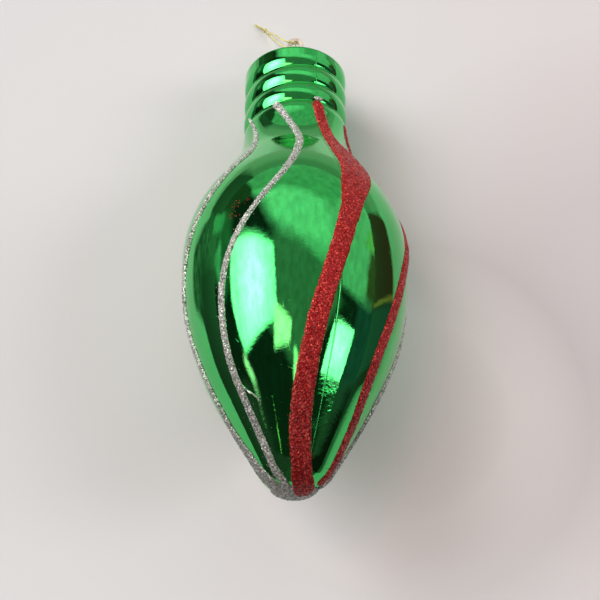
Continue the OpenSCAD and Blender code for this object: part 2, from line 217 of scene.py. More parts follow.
# ---------------------------------------------------------------- materials
class Nodes:
    """Short calls for building a node tree."""

    def __init__(self, tree):
        self.tree = tree
        tree.nodes.clear()

    def add(self, kind, **values):
        """A node with its settings, and its inputs by name or number."""
        node = self.tree.nodes.new(kind)
        inputs = values.pop("inputs", {})
        for key, value in values.items():
            setattr(node, key, value)
        self.fill(node, inputs)
        return node

    def fill(self, node, inputs):
        for key, value in inputs.items():
            self.put(node.inputs[key], value)

    def put(self, socket, value):
        """Link a socket to another one, or give it a value."""
        if isinstance(value, bpy.types.NodeSocket):
            self.tree.links.new(value, socket)
        else:
            socket.default_value = value

    def math(self, operation, a, b=0.0, c=0.0, clamp=False):
        inputs = {0: a, 1: b, 2: c}
        return self.add("ShaderNodeMath", operation=operation, use_clamp=clamp, inputs=inputs).outputs[0]

    def times(self, *values):
        """The product of several values."""
        product = values[0]
        for value in values[1:]:
            product = self.math("MULTIPLY", product, value)
        return product

    def vector(self, operation, *values, scale=None):
        """A vector operation's node."""
        inputs = dict(enumerate(values))
        if scale is not None:
            inputs["Scale"] = scale
        return self.add("ShaderNodeVectorMath", operation=operation, inputs=inputs)

    def dot(self, a, b):
        return self.vector("DOT_PRODUCT", a, tuple(b)).outputs["Value"]

    def mix(self, factor, a, b):
        """From one colour to another. The node's colour sockets are its inputs 6 and 7 and output 2."""
        return self.add("ShaderNodeMix", data_type="RGBA", inputs={0: factor, 6: a, 7: b}).outputs[2]

    def parts(self, kind, value):
        """A colour's or a vector's three parts."""
        return self.add("ShaderNodeSeparate" + kind, inputs={0: value}).outputs

    def ramp(self, value, low, high):
        """0 below the low value, 1 above the high one and straight between them."""
        return self.math("MULTIPLY_ADD", value, 1.0 / (high - low), -low / (high - low), clamp=True)

    def noise(self, scale, detail=2.0, vector=None, roughness=0.5):
        node = self.add("ShaderNodeTexNoise", inputs={"Scale": scale, "Detail": detail, "Roughness": roughness})
        if vector is not None:
            self.put(node.inputs["Vector"], vector)
        return node.outputs[0]

    def bump(self, height, distance, strength=1.0, normal=None):
        node = self.add("ShaderNodeBump", inputs={"Height": height, "Distance": distance, "Strength": strength})
        if normal is not None:
            self.put(node.inputs["Normal"], normal)
        return node.outputs[0]


def material(name):
    """A new material with its nodes and its one shader."""
    made = bpy.data.materials.new(name)
    made.use_nodes = True
    nodes = Nodes(made.node_tree)
    shader = nodes.add("ShaderNodeBsdfPrincipled")
    output = nodes.add("ShaderNodeOutputMaterial")
    nodes.put(output.inputs["Surface"], shader.outputs[0])
    return made, nodes, shader


def object_position(nodes):
    """Where a point is in its object, in metres. Every object's origin is the frame's."""
    return nodes.add("ShaderNodeTexCoord").outputs["Object"]


def green_plating():
    """A tinted mirror under a clear coat, with a slow ripple, smears, hair scratches and dust."""
    made, n, shader = material("green_plating")
    at = object_position(n)
    tone = n.ramp(n.noise(60.0, 3.0, at), 0.3, 0.7)
    colour = n.mix(tone, (0.034, 0.47, 0.095, 1), (0.044, 0.54, 0.118, 1))
    # Hair scratches: stretches of thin cell borders
    hair_width = 0.028
    cells = n.add("ShaderNodeTexVoronoi", feature="DISTANCE_TO_EDGE", inputs={"Vector": at, "Scale": 230.0})
    hair = n.math("SUBTRACT", 1.0, n.ramp(cells.outputs["Distance"], 0.0, hair_width))
    hair = n.times(hair, n.ramp(n.noise(300.0, 2.0, at), 0.60, 0.66))
    # Dust: a small round spot in a few cells
    clean_share, dust_radius = 0.93, 0.085
    dots = n.add("ShaderNodeTexVoronoi", inputs={"Vector": at, "Scale": 330.0})
    picked = n.math("GREATER_THAN", n.parts("Color", dots.outputs["Color"])[0], clean_share)
    dust = n.times(picked, n.math("LESS_THAN", dots.outputs["Distance"], dust_radius))
    smear = n.ramp(n.noise(140.0, 5.0, at, 0.65), 0.5, 0.8)
    rough = n.math("MULTIPLY_ADD", smear, 0.10, 0.03)
    ripple = n.bump(n.noise(75.0, 2.0, at), 0.00020, 0.5)
    grain = n.bump(n.noise(1100.0, 2.0, at), 0.000008, 1.0, ripple)
    n.fill(shader, {
        "Base Color": n.mix(n.times(dust, 0.8), colour, (0.05, 0.07, 0.02, 1)),
        "Metallic": n.math("SUBTRACT", 1.0, n.times(dust, 0.7)),
        "Roughness": n.math("MULTIPLY_ADD", hair, 0.12, rough),
        "Specular Tint": (0.55, 0.95, 0.62, 1),
        "Coat Weight": 1.0, "Coat IOR": 1.3, "Coat Roughness": 0.02,
        "Normal": n.bump(hair, 0.00001, 0.6, grain)})
    return made


# Painted shade on the glitter towards the tip: where along Y it is full and where it ends, in metres, and how
# dark the flakes' colour gets where it is full
TIP_SHADE_FULL, TIP_SHADE_END, TIP_SHADE_LEVEL = -0.060, -0.032, 0.55


def glitter(name, shades, rough, metal, coat, lean):
    """Flakes of film in glue, each with a tone, a gloss and a lean of its own, and painted shade that darkens
    them towards the tip.
    """
    made, n, shader = material(name)
    at = object_position(n)
    cells = n.add("ShaderNodeTexVoronoi", inputs={"Vector": at, "Scale": 2900.0}).outputs["Color"]
    first, second, third = n.parts("Color", cells)
    dark, middle, bright = shades
    colour = n.mix(n.ramp(first, 0.0, 0.55), dark, middle)
    colour = n.mix(n.ramp(first, 0.80, 0.95), colour, bright)
    # Painted shade: the flakes' colour is darkened towards the tip
    unshaded = n.ramp(n.parts("XYZ", at)[1], TIP_SHADE_FULL, TIP_SHADE_END)
    painted_tip_shade = n.math("MULTIPLY_ADD", unshaded, 1 - TIP_SHADE_LEVEL, TIP_SHADE_LEVEL)
    off = n.vector("SUBTRACT", cells, (0.5, 0.5, 0.5)).outputs[0]
    outward = n.add("ShaderNodeNewGeometry").outputs["Normal"]
    leaning = n.vector("MULTIPLY_ADD", off, (lean, lean, lean), outward).outputs[0]
    leaning = n.vector("NORMALIZE", leaning).outputs[0]
    n.fill(shader, {
        "Base Color": n.vector("SCALE", colour, scale=painted_tip_shade).outputs[0],
        "Metallic": n.math("MULTIPLY_ADD", second, 0.4, metal - 0.2),
        "Roughness": n.math("MULTIPLY_ADD", third, 0.25, rough),
        "Specular IOR Level": 0.3, "Coat Weight": coat, "Coat Roughness": 0.12,
        "Normal": leaning, "Coat Normal": leaning})
    return made


def pearly_plastic():
    """Champagne plastic with worn patches."""
    made, n, shader = material("pearly_plastic")
    at = object_position(n)
    worn = n.ramp(n.noise(420.0, 3.0, at), 0.35, 0.65)
    n.fill(shader, {
        "Base Color": n.mix(worn, (0.48, 0.42, 0.32, 1), (0.74, 0.70, 0.58, 1)),
        "Roughness": n.math("MULTIPLY_ADD", worn, 0.2, 0.25),
        "Coat Weight": 0.4,
        "Normal": n.bump(n.noise(900.0, 2.0, at), 0.00005, 0.3)})
    return made


def metallic_thread():
    """Gold thread, uneven from fibre to fibre."""
    made, n, shader = material("metallic_thread")
    strand = n.noise(2600.0, 2.0, object_position(n))
    n.fill(shader, {
        "Base Color": n.mix(n.ramp(strand, 0.35, 0.65), (0.58, 0.52, 0.17, 1), (1.0, 0.97, 0.50, 1)),
        "Metallic": 0.4,
        "Roughness": n.math("MULTIPLY_ADD", strand, 0.3, 0.2),
        "Normal": n.bump(strand, 0.00008, 0.6)})
    return made


SILVER_SHADES = ((0.10, 0.12, 0.11, 1), (0.52, 0.59, 0.52, 1), (1.0, 1.0, 0.96, 1))
RED_SHADES = ((0.15, 0.003, 0.004, 1), (0.42, 0.008, 0.008, 1), (0.92, 0.11, 0.08, 1))
PLATING = green_plating()
SILVER = glitter("silver_glitter", SILVER_SHADES, rough=0.22, metal=0.40, coat=0.1, lean=0.75)
RED = glitter("red_glitter", RED_SHADES, rough=0.26, metal=0.35, coat=0.08, lean=0.55)
PEARL = pearly_plastic()
THREAD = metallic_thread()


def dress(obj, finish, slot, body="bulb"):
    """Give a piece its one material and the body that it rides on. Its slot is not used."""
    obj.data.materials.clear()
    obj.data.materials.append(finish)
    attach(obj, body)
    return obj


# ---------------------------------------------------------------- thread loop
SWING = math.radians(36)
out_way = math.cos(SWING) * ALONG - math.sin(SWING) * RIGHT
left_way = -(math.cos(SWING) * RIGHT + math.sin(SWING) * ALONG)
THREAD_DIAMETER = 0.55
# For the loop and the tails: the size that the twisted strands stay within, and the length of one turn.
# A strand's radius is a share of that size
TWIST_SIZE, TWIST_LAY = 1.15 * THREAD_DIAMETER, 1.5
STRAND_SHARE = 0.27
# Routes in millimetres off the eye's centre: out along the thread, to the left and up through the eye
THREAD_ROUTE = [
    [16.4, 0, -7.2], [14.8, 0, -7.2], [12.8, 0, -6.9], [10.4, 0.3, -6.2], [7.6, 0.8, -5.1], [5, 0.9, -4],
    [3, 0.6, -3], [1.6, 0.3, -2.2], [0.7, 0.1, -1.5], [0.15, 0, -0.8], [0, 0, 0], [0.1, 0.1, 0.8],
    [0.5, 0.5, 1.4], [1.1, 1.1, 1.6], [1.8, 1.6, 1.4], [2.6, 1.9, 1.1], [3.8, 2, 0.5], [5.2, 1.8, -0.3],
    [6.6, 1.4, -1.2], [9.2, 0.7, -2.8], [12.2, 0.2, -4.7], [14.8, 0, -6.4], [16.4, 0, -6.9]]
LONG_TAIL = [[16.8, 0, -7], [18.2, 0.1, -7.1], [19.8, 0.6, -7], [21, 1.2, -6.9]]
SHORT_TAIL = [[16.8, 0, -7], [18, 0.4, -6.7], [19.2, 0.8, -6.9], [20.2, 1, -6.9]]
# The knot's three wraps: how far each is turned towards the up way and the left way, and its radius
KNOT_WRAPS = ((-38, 12, 0.50), (34, -16, 0.52), (4, 40, 0.46))
KNOT_SIZE, KNOT_LAY = 0.5, 1.3


def at_eye(points):
    """World points in metres from points off the eye's centre."""
    p = np.asarray(points, float)
    return (FOOT + EYE * ALONG + p[..., :1] * out_way + p[..., 1:2] * left_way + p[..., 2:] * UP) * MM


def twisted(line, diameter, lay_length, strands=2, sides=7):
    """Vertices and faces of strands that wind round a line, all in metres."""
    run = np.concatenate([[0.0], np.cumsum(np.linalg.norm(np.diff(line, axis=0), axis=1))])
    tangent = unit(np.gradient(line, axis=0))
    across = unit(np.cross(tangent, left_way))
    other = np.cross(tangent, across)
    strand_radius = diameter * STRAND_SHARE
    verts, faces = [], []
    for s in range(strands):
        turn = 2 * math.pi * (run / lay_length + s / strands)
        winding = np.cos(turn)[:, None] * across + np.sin(turn)[:, None] * other
        middle = line + (diameter / 2 - strand_radius) * winding
        verts.append(rings(middle, across, other, strand_radius, sides).reshape(-1, 3))
        first = len(line) * sides * s
        last = first + (len(line) - 1) * sides
        faces += [grid_faces(len(line), sides, closed=True) + first,
                  (first + np.arange(sides)[::-1])[None, :], (last + np.arange(sides))[None, :]]
    return np.concatenate(verts), faces


def gather(parts):
    """One list of vertices and faces from several."""
    verts, faces, count = [], [], 0
    for v, f in parts:
        verts.append(v)
        faces += [np.asarray(g) + count for g in f]
        count += len(v)
    return np.concatenate(verts), faces


def knot_parts():
    """The knot's wraps and its two tails."""
    a = np.linspace(0, 2 * math.pi, 41)
    found = []
    for up_turn, left_turn, radius in KNOT_WRAPS:
        ring = np.stack([0 * a, radius * np.cos(a), radius * np.sin(a)], -1)
        t, u = math.radians(up_turn), math.radians(left_turn)
        ring = ring @ np.array([[math.cos(t), 0, -math.sin(t)], [0, 1, 0], [math.sin(t), 0, math.cos(t)]])
        ring = ring @ np.array([[math.cos(u), math.sin(u), 0], [-math.sin(u), math.cos(u), 0], [0, 0, 1]])
        found.append(twisted(at_eye(ring + np.array(LONG_TAIL[0], float)), KNOT_SIZE * MM, KNOT_LAY * MM))
    for tail in (LONG_TAIL, SHORT_TAIL):
        found.append(twisted(at_eye(smooth_run(tail, 10)), TWIST_SIZE * MM, TWIST_LAY * MM))
    return found


thread_line = at_eye(smooth_run(THREAD_ROUTE, 8))
thread = dress(mesh_object("gold_thread_loop", *twisted(thread_line, TWIST_SIZE * MM, TWIST_LAY * MM)),
               THREAD, "metallic_thread", "loop")
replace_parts(thread, "thread_loop")
knot = dress(mesh_object("gold_thread_knot", *gather(knot_parts())), THREAD, "metallic_thread", "loop")
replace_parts(knot, "thread_knot")
tuple(thread_line[0])


# ---------------------------------------------------------------- plated shells
def thread_radius(height, azimuth):
    """Radius that the thread's creases leave at a height and an azimuth, without limit where there is none."""
    turns = (COLLAR - THREAD_STOP) / PITCH
    radius = np.full(np.broadcast(height, azimuth).shape, np.inf)
    for k in range(math.ceil(turns) + 2):
        angle = (azimuth - THREAD_START) % 360 + 360 * (k - 1)
        middle = neck_height + PITCH * angle / 360
        fade = np.clip(np.minimum(angle / 360, turns - angle / 360) / turns / CREASE_FADE_SHARE, 0, 1)
        bite = np.sin(math.pi / 2 * fade)
        off = np.abs(height - middle) / (PITCH / 2)
        off = np.sqrt(off ** 2 + CREST_ROUNDING ** 2) - CREST_ROUNDING
        cut = NECK + LIFT_OFF * (1 - bite) - bite * DEPTH * np.clip(1 - off, 0, 1) ** 2
        radius = np.where((off < 1) & (angle > 0) & (angle < 360 * turns), np.minimum(radius, cut), radius)
    return radius


# The rows are close together from a little under the neck up to the rim
DENSE_START = neck_height - 3.6
# Columns near the seam, in degrees from it, and the millimetres that the skin drops there
SEAM_COLUMNS = np.array([0.0, 0.14, 0.34, 0.65, 1.1])
SEAM_DROP = [0.14, 0.05, 0.01, 0.0, 0.0]
FULL_DROP_RADIUS = 12.0


def profile():
    """Heights and radii from the tip to the hole in the closed end."""
    t = np.linspace(-math.pi / 2 + 0.02, -CONE, 16)
    heights = [TIP + TIP * np.sin(t)]
    for low, high, rows in ((ball_end, flank_end, 18), (flank_end, belly_height, 54),
                            (belly_height, shoulder_end, 30), (shoulder_end, DENSE_START, 34),
                            (DENSE_START, LENGTH - RIM, 190)):
        heights.append(np.linspace(low, high, rows)[1:])
    h = np.concatenate(heights)
    r = outline(h)[0]
    t = np.linspace(0, math.pi / 2, 9)[1:]
    h = np.concatenate([h, LENGTH - RIM + RIM * np.sin(t)])
    r = np.concatenate([r, NECK - RIM + RIM * np.cos(t)])
    k = np.linspace(0, 1, 14)[1:]
    boss = np.linspace(BOSS, HOLE, 5)[1:]
    h = np.concatenate([h, LENGTH + END_CONE * k, np.full(len(boss), end_height), [end_height - WALL]])
    r = np.concatenate([r, NECK - RIM + (BOSS - NECK + RIM) * k, boss, [HOLE]])
    return h, r


def plated_half(name, start):
    """The outer skin of one half, with its edges rolled into the seam."""
    columns = np.concatenate([SEAM_COLUMNS, np.linspace(2.0, 178.0, 177), (180 - SEAM_COLUMNS)[::-1]])
    h, r = profile()
    azimuth = start + columns
    height = np.repeat(h[:, None], len(azimuth), 1)
    smooth = np.repeat(r[:, None], len(azimuth), 1)
    past_thread = h > LENGTH - RIM
    radius = np.where(past_thread[:, None], smooth, np.minimum(smooth, thread_radius(height, azimuth[None, :])))
    drop = np.interp(np.minimum(columns, 180 - columns), SEAM_COLUMNS, SEAM_DROP)
    radius = np.maximum(radius - drop[None, :] * np.clip(radius / FULL_DROP_RADIUS, 0.2, 1.0), 0.05)
    points = place(radius, azimuth[None, :], height)
    return mesh_object(name, points.reshape(-1, 3), [grid_faces(len(h), len(azimuth))])


for side, start in (("right", SEAM), ("left", SEAM + 180)):
    skin = dress(plated_half("plated_skin_" + side, start), PLATING, "green_plating")
    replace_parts(skin, "shell_" + side)

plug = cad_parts["hanger_plug"]
plug.data.materials.clear()
plug.data.materials.append(PEARL)

# ---------------------------------------------------------------- glitter
# Each stripe from the collar down to the tip: share of the length, azimuth, share of the full width
STRIPES = {
    "silver_stripe_1": [[0.84, -21, 1.2], [0.785, -6, 1], [0.73, 3, 1], [0.665, 2, 1], [0.585, -4, 1],
        [0.515, -15, 0.95], [0.45, -27, 0.95], [0.375, -37.5, 0.95], [0.29, -44, 0.95],
        [0.195, -47, 1], [0.105, -44.5, 1], [0.038, -40, 1], [0.012, -36, 1], [0.002, -32, 1]],
    "silver_stripe_2": [[0.845, -62, 0.5], [0.8, -49, 0.65], [0.75, -40, 0.9], [0.69, -34, 0.9],
        [0.62, -42, 0.9], [0.56, -51, 0.9], [0.49, -65, 0.9], [0.41, -77, 0.9], [0.345, -82, 0.9],
        [0.265, -81, 0.9], [0.19, -82, 0.95], [0.12, -85, 1.3], [0.065, -80, 1.65], [0.028, -74, 1.85],
        [0.012, -74, 1.8], [0.0036, -76, 1.5]],
    "silver_stripe_3": [[0.84, 120, 1], [0.75, 132, 1], [0.665, 127, 0.9], [0.58, 118, 0.9],
        [0.495, 108, 0.9], [0.4, 100, 0.9], [0.3, 95, 0.8], [0.195, 92, 0.8], [0.12, 103, 0.8],
        [0.07, 100, 0.8], [0.03, 97, 0.8], [0.012, 100, 0.6]],
    "silver_stripe_4": [[0.84, 148, 1], [0.74, 162, 1], [0.64, 168.5, 1], [0.57, 167.5, 1],
        [0.5, 161, 1], [0.42, 152, 1], [0.33, 144, 1], [0.235, 141, 1], [0.135, 143, 1],
        [0.06, 146, 0.9], [0.012, 146, 0.6]],
    "red_stripe_1": [[0.852, 25, 0.65], [0.8, 29.8, 0.7], [0.76, 33.3, 0.8], [0.735, 36, 1.05],
        [0.705, 38.6, 1.55], [0.665, 38, 1.8], [0.6, 36, 1.85], [0.555, 32, 1.6], [0.505, 29, 1.2],
        [0.455, 26, 1.05], [0.38, 21.5, 1], [0.3, 16, 1], [0.22, 11.5, 1], [0.14, 7.5, 1.02],
        [0.075, 7, 1.05], [0.034, 11.5, 1.0], [0.012, 20, 0.95]],
    "red_stripe_2": [[0.84, 72, 0.5], [0.76, 84, 0.6], [0.68, 88, 0.65], [0.59, 84, 0.7], [0.515, 79, 0.7],
        [0.45, 72.5, 0.7], [0.38, 68, 0.7], [0.31, 64.5, 0.7], [0.235, 62.5, 0.7], [0.175, 65, 0.7],
        [0.115, 72.5, 0.66], [0.06, 79, 0.6], [0.03, 80, 0.5], [0.012, 79, 0.4]],
    "red_stripe_3": [[0.84, 196, 0.6], [0.74, 205, 1.1], [0.65, 202, 1.25], [0.57, 195.5, 1.05],
        [0.5, 190, 1], [0.42, 187, 1], [0.33, 188, 1], [0.235, 190, 1], [0.135, 194, 0.95],
        [0.06, 198, 0.8], [0.012, 200, 0.5]],
    "red_stripe_4": [[0.84, 252, 0.6], [0.74, 260, 1], [0.64, 257, 1.2], [0.55, 251, 1], [0.45, 245, 1],
        [0.345, 239, 0.85], [0.235, 236, 0.75], [0.135, 232.5, 0.5], [0.1, 231, 0.35], [0.08, 230, 0.2]],
}

# Patches, each with its border in millimetres: radii at even angles, or points in the plane
START_BLOB = [1.35, 1.3, 1.4, 1.3]
DAB = [0.75, 1.0, 1.7, 1.0, 0.75, 0.9, 1.5, 0.9]
POOL = [3.0, 3.2, 3.8, 4.8, 6.0, 6.8, 7.0, 6.8, 6.6, 7.0, 7.8, 7.2, 5.8, 4.8, 4.4, 3.6]
DRIP = [[-0.25, 0.4], [0.35, 0.4], [1.6, -1.6], [2.9, -3.1], [3.8, -4.6], [4.2, -5.6],
        [3.9, -5.7], [3.3, -4.6], [2.4, -3.3], [1.1, -1.9]]
TONGUE = [[4.5, 8.7], [4.6, 7.4], [4.9, 6.2], [5.1, 4.6], [5.2, 3.0], [5.1, 1.6], [4.7, 0.3], [3.8, -0.6],
          [2.2, -0.9], [0.8, -0.7], [0.1, 0.0], [-0.3, 1.4], [-0.45, 3.0], [-0.7, 4.6], [-0.9, 6.3],
          [-0.9, 7.6], [-0.9, 8.9]]
# Spacing of the facets' corners along a row, from row to row as a share of it, and how far each one strays
FLAKE, ROW_SHARE, JITTER = 0.34, 0.87, 0.12
# Steps in each stretch of a stripe's route, millimetres from row to row, and rows to a step of the border
ROUTE_STEPS, RUN_STEP, BORDER_STEPS = 40, 0.1, 3
# Distance from the border over which the glue rises to its crown, and what keeps that above zero
RISE, LEAST_RISE = 1.2, 0.01
# How far the facets' corners keep from a stripe's edge, from its ends and from a blot's border
EDGE_CLEAR, END_CLEAR, BLOT_CLEAR = 0.16, 0.12, 0.15
# Lifts off the outline: of the border, and the least one inside it
BORDER_LIFT, LEAST_LIFT = 0.01, 0.03
# Wandering of a stripe's width and of its edges: size and reach
WIDTH_WANDER, EDGE_WANDER = (0.025, 1.5), (0.045, 0.6)
# A stripe's least width to each side, and the share of its crown that it has at its very ends
LEAST_SIDE, END_CROWN = 0.12, 0.35
# Where the tongue starts to climb over the pool, over what run it does, and how high
CLIMB_START, CLIMB_RUN, CLIMB = 7.8, 3.0, 0.40
# Loose flakes: the spread of their sizes, their height and how far their tops stray
FLECK_SIZES, FLECK_HEIGHT, FLECK_STRAY = (0.7, 1.3), 0.12, 0.03
# Heights along the axis and azimuths of the patches that lie away from the tip
START_BLOB_AT, DRIP_AT, DAB_AT = (120.5, -20.6), (23.6, -44.5), (123.6, 26.3)


def wander(run, size, reach):
    """A smooth random wandering along a run, with features of about one reach."""
    knots = rng.normal(0, size, int(run[-1] / reach) + 4)
    return np.interp(run / reach, np.arange(len(knots)), knots)


def grain_of(low, high):
    """Points of a jittered triangular grid over a box in the plane, a flake apart."""
    rows = np.arange(low[1], high[1], FLAKE * ROW_SHARE)
    columns = np.arange(low[0], high[0], FLAKE)
    x, y = np.meshgrid(columns, rows)
    x = x + (np.arange(len(rows)) % 2)[:, None] * FLAKE / 2
    grid = np.stack([x.ravel(), y.ravel()], -1)
    return grid + rng.uniform(-JITTER, JITTER, grid.shape)


def within(border, points):
    """Which points lie inside a closed border, by the crossings of a line from each."""
    (ax, ay), (bx, by) = border.T, np.roll(border, -1, axis=0).T
    x, y = points[:, :1], points[:, 1:]
    crossing = (ay > y) != (by > y)
    rise = np.where(by == ay, 1e-9, by - ay)
    return (crossing & (x < ax + (y - ay) * (bx - ax) / rise)).sum(1) % 2 == 1


def triangles(border, inside):
    """Triangles over a border and the points inside it, and over the border alone for the underside."""
    points = np.concatenate([border, inside])
    every = [Vector(map(float, p)) for p in points]
    loop, only_inside, close = [list(range(len(border)))], 1, 1e-6
    sides = []
    for used, below in ((every, False), (every[:len(border)], True)):
        found = delaunay_2d_cdt(used, [], loop, only_inside, close, True)
        origin = [o[0] if o else -1 for o in found[3]]
        tri = np.array([[origin[i] for i in f] for f in found[2] if len(f) == 3])
        tri = tri[(tri >= 0).all(1)]
        tri = tri[within(border, points[tri].mean(1))]
        a, b, c = points[tri].transpose(1, 0, 2)
        wrong = (np.cross(b - a, c - a) < 0) != below
        tri[wrong] = tri[wrong][:, ::-1]
        sides.append(tri)
    # A triangle that both sides have is a flap without thickness, so it goes from both
    keys = [[tuple(sorted(t)) for t in tri.tolist()] for tri in sides]
    flaps = set(keys[0]) & set(keys[1])
    return [tri[[key not in flaps for key in side]] for tri, side in zip(sides, keys)]


def crowned(border, inside, depth, crown, to_world, roughness=0.055):
    """A patch of dried glitter glue: rough and faceted on top, thin at its border, closed underneath."""
    rise = np.clip(depth, 0, 1)
    rise = (1 - (1 - rise) ** 3) ** 0.7
    lift = GLUE_GAP + rise * crown + rng.normal(0, roughness, len(inside)) * np.clip(rise * 2, 0.2, 1)
    lift = np.concatenate([np.full(len(border), BORDER_LIFT), np.maximum(lift, LEAST_LIFT)])
    return to_world(np.concatenate([border, inside]), lift), triangles(border, inside)


def ribbon(name):
    """One stripe over the unrolled surface: x across the bulb, y down its meridian."""
    width, crown = (RED_WIDTH, RED_HEIGHT) if name.startswith("red") else (SILVER_WIDTH, SILVER_HEIGHT)
    route = smooth_run(STRIPES[name], ROUTE_STEPS)
    y = -np.interp(route[:, 0] * LENGTH, meridian_height, meridian_run)
    even = np.append(np.arange(y[0], y[-1], RUN_STEP), y[-1])
    radius = outline(np.interp(-even, meridian_run, meridian_height))[0]
    azimuth = np.interp(even, y, route[:, 1])
    steps = np.radians(np.diff(azimuth)) * (radius[1:] + radius[:-1]) / 2
    x = np.concatenate([[0.0], np.cumsum(steps)])
    # The crown is lower at both ends
    stretch = np.interp(even, y, np.arange(len(y)) / ROUTE_STEPS)
    taper = np.minimum(1, END_CROWN + np.minimum(stretch, len(STRIPES[name]) - 1 - stretch))
    # The ends are round, but red_stripe_1 runs on into its tongue on the tip
    run = even - even[0]
    half = np.interp(even, y, route[:, 2]) * width / 2
    for from_end in (run,) if name == "red_stripe_1" else (run, even[-1] - even):
        reach = half[np.argmin(from_end)]
        rounded = np.sqrt(np.clip(1 - (1 - from_end / reach) ** 2, 0.01, 1))
        half = half * np.where(from_end < reach, rounded, 1)
    left, right = [np.maximum(half * (1 + wander(run, *WIDTH_WANDER)) + wander(run, *EDGE_WANDER), LEAST_SIDE)
                   for _ in range(2)]
    pick = slice(0, None, BORDER_STEPS)
    border = np.concatenate([np.stack([x + right, even], -1)[pick], np.stack([x - left, even], -1)[pick][::-1]])
    inside = grain_of(border.min(0), border.max(0))

    def at(values, points):
        return np.interp(points[:, 1], even, values)

    side = inside[:, 0] - at(x, inside)
    edge = np.where(side < 0, side + at(left, inside), at(right, inside) - side)
    keep = (edge > EDGE_CLEAR) & (inside[:, 1] > even[0] + END_CLEAR) & (inside[:, 1] < even[-1] - END_CLEAR)
    inside, edge = inside[keep], edge[keep]
    depth = edge / (np.minimum(at(half, inside), RISE) + LEAST_RISE)

    def to_world(p, lift):
        h = np.interp(-p[:, 1], meridian_run, meridian_height)
        return on_surface(h, at(azimuth, p) + np.degrees((p[:, 0] - at(x, p)) / outline(h)[0]), lift)

    return crowned(border, inside, depth, (crown - GLUE_GAP) * at(taper, inside), to_world)


def from_pole(p, lift):
    """World points off the tip's pole: x towards azimuth 90 and y towards azimuth 0, along the surface."""
    run = np.hypot(p[:, 0], p[:, 1])
    azimuth = np.degrees(np.arctan2(p[:, 0], p[:, 1]))
    return on_surface(np.interp(run, meridian_run, meridian_height), azimuth, lift)


def over_pool(p, lift):
    """World points off the tip's pole for glue that climbs over the silver pool."""
    return from_pole(p, lift + CLIMB * np.clip((CLIMB_START - p[:, 1]) / CLIMB_RUN, 0, 1))


def blot(border, crown, to_world, rise=RISE):
    """A patch of glitter glue inside a border of points in the plane."""
    inside = grain_of(border.min(0), border.max(0))
    inside = inside[within(border, inside)]
    edge = np.sqrt(((inside[:, None] - border[None]) ** 2).sum(-1)).min(1)
    clear = edge > BLOT_CLEAR
    return crowned(border, inside[clear], edge[clear] / rise, crown, to_world)


def around(radii, waves=0.025, count=72):
    """A wavy closed border from radii at even angles."""
    a = 2 * math.pi * np.arange(count) / count
    r = np.interp(a, np.linspace(0, 2 * math.pi, len(radii) + 1), radii + radii[:1])
    r = r * (1 + rng.normal(0, waves, count))
    return np.stack([r * np.sin(a), r * np.cos(a)], -1)


def near_point(height, azimuth):
    """A plane laid on the surface at a point: x across the bulb and y towards the collar."""
    run0 = np.interp(height, meridian_height, meridian_run)

    def to_world(p, lift):
        h = np.interp(run0 + p[:, 1], meridian_run, meridian_height)
        return on_surface(h, azimuth + np.degrees(p[:, 0] / outline(h)[0]), lift)
    return to_world


def flecks(height, azimuth, size=0.17):
    """Loose flakes: small three-sided chips on the surface."""
    count = len(height)
    at = on_surface(height, azimuth)
    out = unit(on_surface(height, azimuth, 1.0) - at)
    across = unit(np.cross(out, rng.normal(0, 1, (count, 3))))
    span = size * MM * rng.uniform(*FLECK_SIZES, count)[:, None, None]
    corners = rings(at, across, np.cross(out, across), span, 3)
    top = at + out * FLECK_HEIGHT * MM + rng.normal(0, FLECK_STRAY * MM, (count, 3))
    verts = np.concatenate([corners, top[:, None]], 1).reshape(-1, 3)
    i = np.arange(count)[:, None] * 4
    return verts, [np.concatenate([i + np.array(t) for t in ([0, 2, 1], [0, 1, 3], [1, 2, 3], [2, 0, 3])])]


def beside(name, count=60, spread=0.5):
    """Loose flakes scattered along a stripe's two edges."""
    route = smooth_run(STRIPES[name], ROUTE_STEPS)
    i = rng.integers(ROUTE_STEPS, len(route) - ROUTE_STEPS, count)
    width = RED_WIDTH if name.startswith("red") else SILVER_WIDTH
    side = route[i, 2] * width / 2 + 0.1 + rng.exponential(spread, count)
    side *= rng.choice([-1, 1], count)
    height = route[i, 0] * LENGTH
    return flecks(height, route[i, 1] + np.degrees(side / outline(height)[0]))


def extras(name):
    """What two of the stripes have alone: a blob and a drip, and a tongue over the pool and strewn flakes."""
    if name == "silver_stripe_1":
        return [blot(around(START_BLOB), 0.62, near_point(*START_BLOB_AT)),
                blot(np.array(DRIP), 0.3, near_point(*DRIP_AT), rise=0.4)]
    if name == "red_stripe_1":
        tongue = np.array(TONGUE)
        tongue = blot(tongue + rng.normal(0, 0.04, tongue.shape), 0.45, over_pool)
        strewn, middle = 34, 71
        height = rng.uniform(0.475, 0.515, strewn) * LENGTH
        azimuth = rng.uniform(-34, -24, strewn) + (height - middle) * 0.9
        return [tongue, flecks(height, azimuth, 0.2)]
    return []


def glitter_piece(name, verts, faces):
    """A faceted piece in the glitter that its name starts with."""
    slot, finish = ("red_glitter", RED) if name.startswith("red") else ("silver_glitter", SILVER)
    return dress(mesh_object("glitter_" + name, verts, faces, smooth=False), finish, slot)


for name in STRIPES:
    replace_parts(glitter_piece(name, *gather([ribbon(name), beside(name)] + extras(name))), name)
pool = blot(around(POOL, 0.015), SILVER_HEIGHT, from_pole, rise=2.4)
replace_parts(glitter_piece("silver_pool", *pool), "silver_pool")
glitter_piece("silver_dab", *blot(around(DAB), 0.5, near_point(*DAB_AT)))


